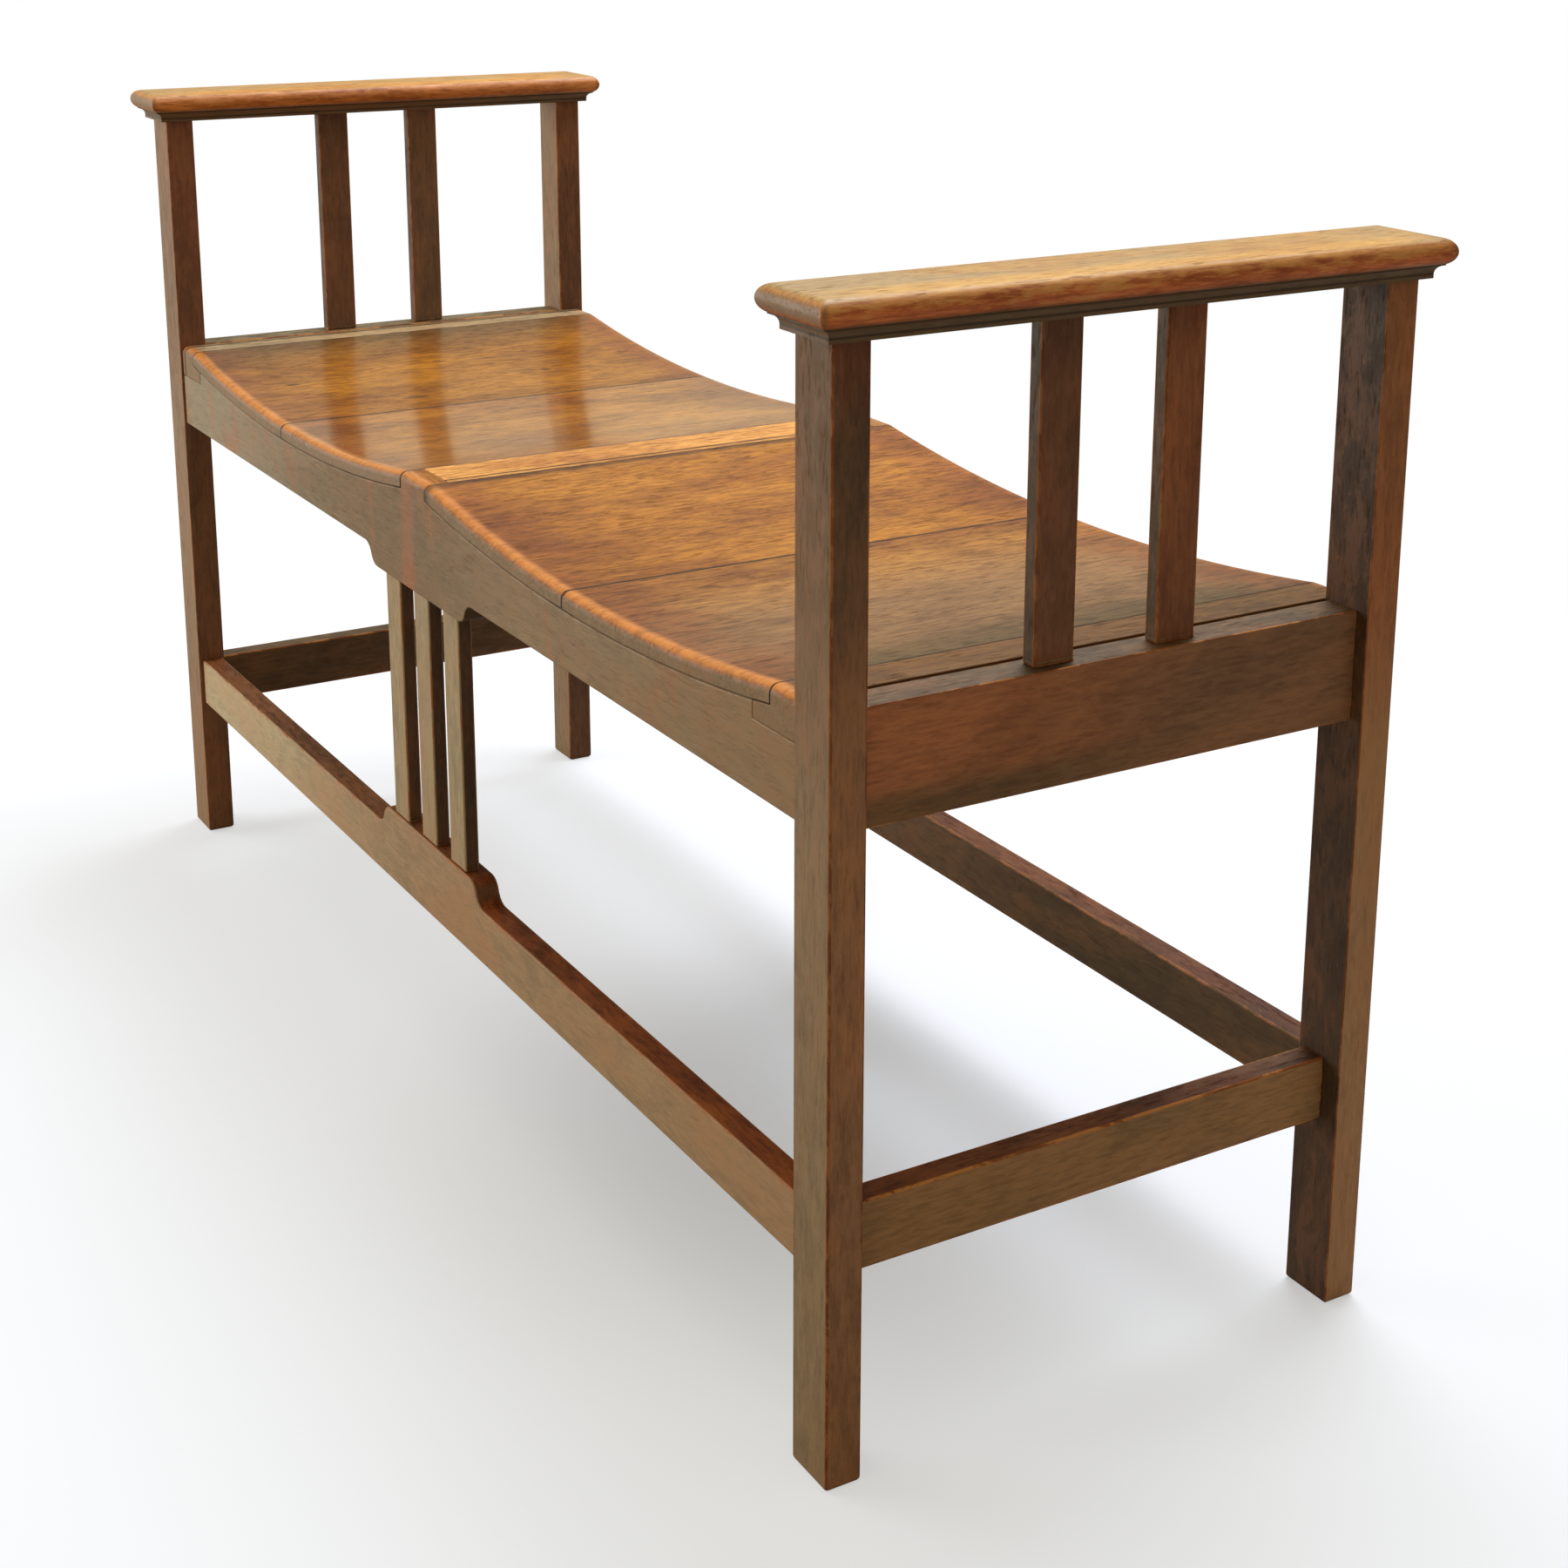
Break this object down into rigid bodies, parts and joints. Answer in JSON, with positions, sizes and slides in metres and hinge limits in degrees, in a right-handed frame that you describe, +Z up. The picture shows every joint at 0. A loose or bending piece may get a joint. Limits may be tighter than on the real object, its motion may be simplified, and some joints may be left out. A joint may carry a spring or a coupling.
{
  "type": "window bench",
  "caption": "Backless wooden window bench with raised ends, moulded arm rails, a seat of thin boards that dips twice, and low stretchers with upright slats at the middle.",
  "frame": {"origin": "on the floor at the centre of the bench", "axes": "+Z up, +X along the bench to its right end as seen from the front, and the front long side faces -Y"},
  "size_m": [1.236, 0.439, 0.7075],
  "materials": {
    "frame_oak": "old dark oak, waxed, satin, greyish on the worn faces",
    "arm_oak": "golden brown oak, waxed, worn smooth, satin",
    "seat_oak": "golden brown oak, polished, glossy, orange along the worn edges"
  },
  "bodies": {
    "root": {"post_front_left": "frame_oak", "post_front_right": "frame_oak", "post_rear_left": "frame_oak", "post_rear_right": "frame_oak", "arm_slat_left_front": "frame_oak", "arm_slat_left_rear": "frame_oak", "arm_slat_right_front": "frame_oak", "arm_slat_right_rear": "frame_oak", "end_rail_left": "frame_oak", "end_rail_right": "frame_oak", "end_stretcher_left": "frame_oak", "end_stretcher_right": "frame_oak", "seat_rail_front": "frame_oak", "seat_rail_rear": "frame_oak", "stretcher_front": "frame_oak", "stretcher_rear": "frame_oak", "front_slat_left": "frame_oak", "front_slat_middle": "frame_oak", "front_slat_right": "frame_oak", "rear_slat_left": "frame_oak", "rear_slat_middle": "frame_oak", "rear_slat_right": "frame_oak", "arm_rail_left": "arm_oak", "arm_rail_right": "arm_oak", "seat_bearer_left": "seat_oak", "seat_bearer_middle": "seat_oak", "seat_bearer_right": "seat_oak", "seat_board_left_outer": "seat_oak", "seat_board_left_inner": "seat_oak", "seat_board_right_inner": "seat_oak", "seat_board_right_outer": "seat_oak"}
  },
  "joints": []
}
